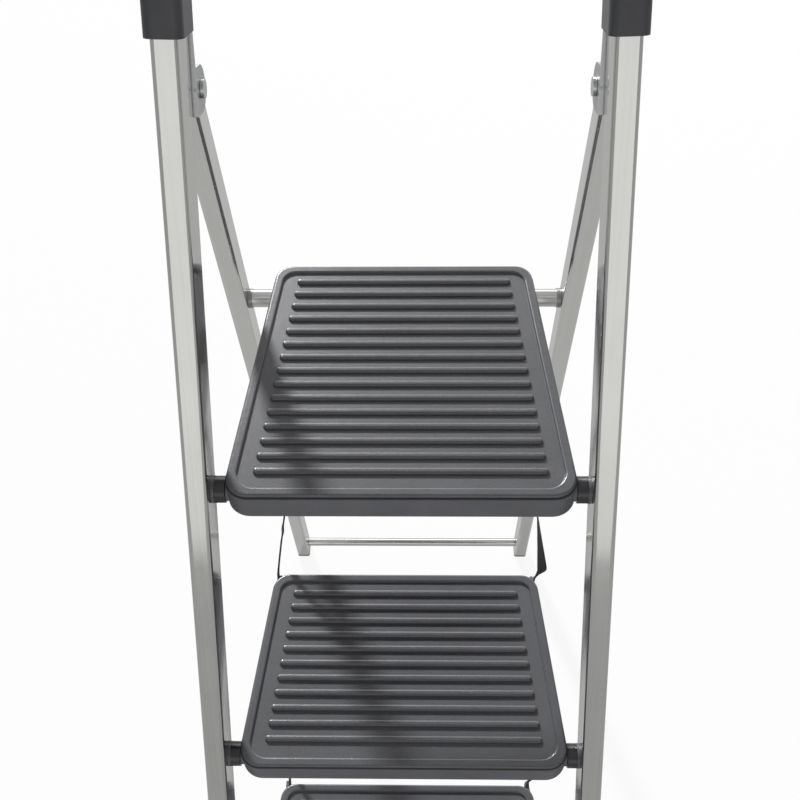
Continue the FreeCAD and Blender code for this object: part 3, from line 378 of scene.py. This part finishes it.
# The webbing is at full thickness from 1 / SELVEDGE_SLOPE of its width inward.
SELVEDGE_SLOPE = 16.0
# A swell along the webbing. The stations are further apart than this pitch, so the mesh shows slow
# beats of it; the single picks are in the material's bump.
PICK_PITCH = 0.0018
PICK_SWELL = 0.05
# Turns and bows of the straps. Bows are in metres, KINK_TURN is in radians, TURN_SINE is the sine
# of the widest opening, and the rest are shares of the free run.
TURN_START = 0.69
TURN_RUN = 0.24
TURN_CLOSE = 0.055
TURN_SINE = 0.98
KINK_TURN = math.radians(15)
KINK_PLACE = 0.76
KINK_SPREAD = 0.022
SLACK_BOW = 0.009
SLACK_RISE = 0.6
SLACK_CLOSE = 0.06
TAUT_BOW = 0.003


def clamp_share(value):
    return min(1.0, max(0.0, value))


def smooth_share(value):
    value = clamp_share(value)
    return value * value * (3.0 - 2.0 * value)


def strap_section():
    """Closed outline of the webbing, with the warp ribs as low ridges on both faces."""
    columns = 4 * STRAP_RIBS
    upper = []
    for i in range(columns + 1):
        across = -0.5 + i / columns
        ridge = 0.5 - 0.5 * math.cos(2 * math.pi * STRAP_RIBS * (across + 0.5))
        selvedge = min(1.0, (0.5 - abs(across)) * SELVEDGE_SLOPE)
        thick = STRAP_HALF_THICK * (STRAP_EDGE + STRAP_BODY * selvedge + STRAP_RIDGE * ridge * selvedge)
        upper.append((across * STRAP_WIDTH, thick))
    lower = [(w, -t) for w, t in reversed(upper)]
    return upper + lower


def strap(name, node_name, body, twist, bow):
    """Webbing in the place of a strap node, twisted and bowed outward along its free run."""
    low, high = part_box(node_name)
    side = 1.0 if low[0] > 0 else -1.0
    along = Vector((0.0, -math.sin(FRONT_LEAN), -math.cos(FRONT_LEAN)))
    wide = Vector((0.0, math.cos(FRONT_LEAN), -math.sin(FRONT_LEAN)))
    outward = Vector((1.0, 0.0, 0.0))
    # the box spans the strap's width as well, so the width's share is taken off for the centre line
    drop = high[2] - low[2] - STRAP_WIDTH * math.sin(FRONT_LEAN)
    length = drop / math.cos(FRONT_LEAN)
    top_y = high[1] - STRAP_WIDTH / 2 * math.cos(FRONT_LEAN)
    top_z = high[2] - STRAP_WIDTH / 2 * math.sin(FRONT_LEAN)
    near, far = sorted((abs(low[0]), abs(high[0])))
    start = Vector((side * (near + STRAP_HALF_THICK), top_y, top_z))
    shift = side * (far - near - 2 * STRAP_HALF_THICK)
    section = strap_section()
    free = length - STRAP_TAB - STRAP_FOOT - 2 * STRAP_PAST_PIN
    verts = []
    marks = []
    for j in range(STRAP_STATIONS + 1):
        reach = length * j / STRAP_STATIONS
        share = clamp_share((reach - STRAP_TAB - STRAP_PAST_PIN) / free)
        angle = side * twist(share)
        sway = shift * clamp_share(share / STRAP_REACH)
        centre = start + along * reach + outward * (sway + side * bow(share))
        u_axis = wide * math.cos(angle) + outward * math.sin(angle)
        v_axis = outward * math.cos(angle) - wide * math.sin(angle)
        pick = 1.0 + PICK_SWELL * math.cos(2 * math.pi * reach / PICK_PITCH)
        for w, t in section:
            verts.append(centre + u_axis * w + v_axis * (t * pick))
            marks.append((w, reach))
    ring = len(section)
    faces = []
    for j in range(STRAP_STATIONS):
        for i in range(ring):
            k = (i + 1) % ring
            faces.append((j * ring + i, j * ring + k, (j + 1) * ring + k, (j + 1) * ring + i))
    faces.append(tuple(reversed(range(ring))))
    faces.append(tuple(STRAP_STATIONS * ring + i for i in range(ring)))
    mesh = bpy.data.meshes.new(name)
    mesh.from_pydata([tuple(v) for v in verts], [], faces)
    layer = mesh.uv_layers.new(name="weave")
    for loop in mesh.loops:
        layer.data[loop.index].uv = marks[loop.vertex_index]
    for face in mesh.polygons:
        face.use_smooth = len(face.vertices) == 4
    mesh.materials.append(bpy.data.materials["webbing"])
    piece = bpy.data.objects.new(name, mesh)
    bpy.context.collection.objects.link(piece)
    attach(piece, body)
    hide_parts(node_name)


def half_turn(share):
    """Flat to the rail for most of the run, almost face on near the lower end, then flat again."""
    opened = math.asin(TURN_SINE * clamp_share((share - TURN_START) / TURN_RUN))
    return opened * smooth_share((1.0 - share) / TURN_CLOSE)


def slight_turn(share):
    """Almost flat, with one small kink."""
    return KINK_TURN * math.exp(-((share - KINK_PLACE) / KINK_SPREAD) ** 2)


def slack(share):
    """A loose strap bows outward, almost to its lower end."""
    return SLACK_BOW * smooth_share(share / SLACK_RISE) * smooth_share((1.0 - share) / SLACK_CLOSE)


def taut(share):
    """A tight strap bows slightly inward at its middle."""
    return -TAUT_BOW * math.sin(math.pi * share) ** 2


def add_straps():
    webbing("webbing")
    strap("webbing_upper_left", "upper_strap_left", "upper_straps", slight_turn, taut)
    strap("webbing_upper_right", "upper_strap_right", "upper_straps", half_turn, slack)
    strap("webbing_lower_left", "lower_strap_left", "lower_straps", slight_turn, taut)
    strap("webbing_lower_right", "lower_strap_right", "lower_straps", half_turn, slack)


# ---------------------------------------------------------------- stage and light
def seen_share(tree, paths, camera, glossy):
    """How much of the white background a ray sees. Light through glass has the camera's share."""
    share = None
    rays = (("Is Camera Ray", camera), ("Is Glossy Ray", glossy), ("Is Transmission Ray", camera))
    for ray, weight in rays:
        part = tree.nodes.new("ShaderNodeMath")
        part.operation = "MULTIPLY"
        part.inputs[1].default_value = weight
        tree.links.new(paths.outputs[ray], part.inputs[0])
        if share is None:
            share = part.outputs[0]
            continue
        most = tree.nodes.new("ShaderNodeMath")
        most.operation = "MAXIMUM"
        tree.links.new(share, most.inputs[0])
        tree.links.new(part.outputs[0], most.inputs[1])
        share = most.outputs[0]
    return share


def add_floor():
    mesh = bpy.data.meshes.new("studio_floor")
    signs = ((-1, -1), (1, -1), (1, 1), (-1, 1))
    corners = [(x * FLOOR_HALF, y * FLOOR_HALF, 0.0) for x, y in signs]
    mesh.from_pydata(corners, [], [(0, 1, 2, 3)])
    material = bpy.data.materials.new("studio_floor")
    material.use_nodes = True
    tree = material.node_tree
    tree.nodes.clear()
    output = tree.nodes.new("ShaderNodeOutputMaterial")
    matt = tree.nodes.new("ShaderNodeBsdfDiffuse")
    matt.inputs["Color"].default_value = (FLOOR_ALBEDO, FLOOR_ALBEDO, FLOOR_ALBEDO, 1.0)
    glow = tree.nodes.new("ShaderNodeEmission")
    glow.inputs["Color"].default_value = (1.0, 1.0, 1.0, 1.0)
    paths = tree.nodes.new("ShaderNodeLightPath")
    # full strength to the camera, FLOOR_REFLECTED to every other ray
    level = tree.nodes.new("ShaderNodeMath")
    level.operation = "MULTIPLY_ADD"
    level.inputs[1].default_value = 1.0 - FLOOR_REFLECTED
    level.inputs[2].default_value = FLOOR_REFLECTED
    tree.links.new(paths.outputs["Is Camera Ray"], level.inputs[0])
    tree.links.new(level.outputs[0], glow.inputs["Strength"])
    share = seen_share(tree, paths, **FLOOR_SEEN)
    blend = tree.nodes.new("ShaderNodeMixShader")
    tree.links.new(share, blend.inputs[0])
    tree.links.new(matt.outputs[0], blend.inputs[1])
    tree.links.new(glow.outputs[0], blend.inputs[2])
    tree.links.new(blend.outputs[0], output.inputs[0])
    mesh.materials.append(material)
    floor = bpy.data.objects.new("studio_floor", mesh)
    bpy.context.collection.objects.link(floor)


def add_world():
    world = bpy.data.worlds.new("studio")
    bpy.context.scene.world = world
    world.use_nodes = True
    tree = world.node_tree
    tree.nodes.clear()
    output = tree.nodes.new("ShaderNodeOutputWorld")
    # a soft sky, dimmer towards the sides of the room
    way = tree.nodes.new("ShaderNodeTexCoord")
    axes = tree.nodes.new("ShaderNodeSeparateXYZ")
    tree.links.new(way.outputs["Generated"], axes.inputs[0])
    sideways = tree.nodes.new("ShaderNodeMath")
    sideways.operation = "ABSOLUTE"
    tree.links.new(axes.outputs["X"], sideways.inputs[0])
    ramp = tree.nodes.new("ShaderNodeMapRange")
    ramp.interpolation_type = "SMOOTHSTEP"
    for key, value in (("From Min", 0.45), ("From Max", 0.9), ("To Min", 0.32), ("To Max", 0.14)):
        ramp.inputs[key].default_value = value
    tree.links.new(sideways.outputs[0], ramp.inputs["Value"])
    soft = tree.nodes.new("ShaderNodeBackground")
    soft.inputs["Color"].default_value = (1.0, 1.0, 1.0, 1.0)
    tree.links.new(ramp.outputs[0], soft.inputs["Strength"])
    white = tree.nodes.new("ShaderNodeBackground")
    white.inputs["Color"].default_value = (1.0, 1.0, 1.0, 1.0)
    white.inputs["Strength"].default_value = 1.0
    paths = tree.nodes.new("ShaderNodeLightPath")
    blend = tree.nodes.new("ShaderNodeMixShader")
    tree.links.new(seen_share(tree, paths, **WORLD_SEEN), blend.inputs[0])
    tree.links.new(soft.outputs[0], blend.inputs[1])
    tree.links.new(white.outputs[0], blend.inputs[2])
    tree.links.new(blend.outputs[0], output.inputs[0])


def add_softbox(name, place, aim, width, height, power):
    """A large soft lamp facing a point."""
    data = bpy.data.lights.new(name, "AREA")
    data.shape = "RECTANGLE"
    data.size = width
    data.size_y = height
    data.energy = power
    lamp = bpy.data.objects.new(name, data)
    lamp.location = place
    lamp.rotation_mode = "QUATERNION"
    lamp.rotation_quaternion = (Vector(place) - Vector(aim)).to_track_quat("Z", "Y")
    bpy.context.collection.objects.link(lamp)


def add_lamp(name, source, strength, angle):
    """A distant lamp shining from the direction of source."""
    data = bpy.data.lights.new(name, "SUN")
    data.energy = strength
    data.angle = math.radians(angle)
    lamp = bpy.data.objects.new(name, data)
    lamp.rotation_mode = "QUATERNION"
    lamp.rotation_quaternion = Vector(source).to_track_quat("Z", "Y")
    bpy.context.collection.objects.link(lamp)


bpy.context.scene.view_settings.view_transform = "Standard"
place_camera()
dress_nodes()
add_straps()
add_floor()
add_world()
add_lamp("key", source=(-0.70, 1.75, 1.0), strength=4.8, angle=5.5)
add_softbox("back_softbox", place=(0.5, 3.2, 1.9), aim=SOFTBOX_AIM, width=4.0, height=1.8, power=44.0)
add_softbox("front_softbox", place=(0.4, -4.0, 1.4), aim=SOFTBOX_AIM, width=6.5, height=2.6, power=32.0)
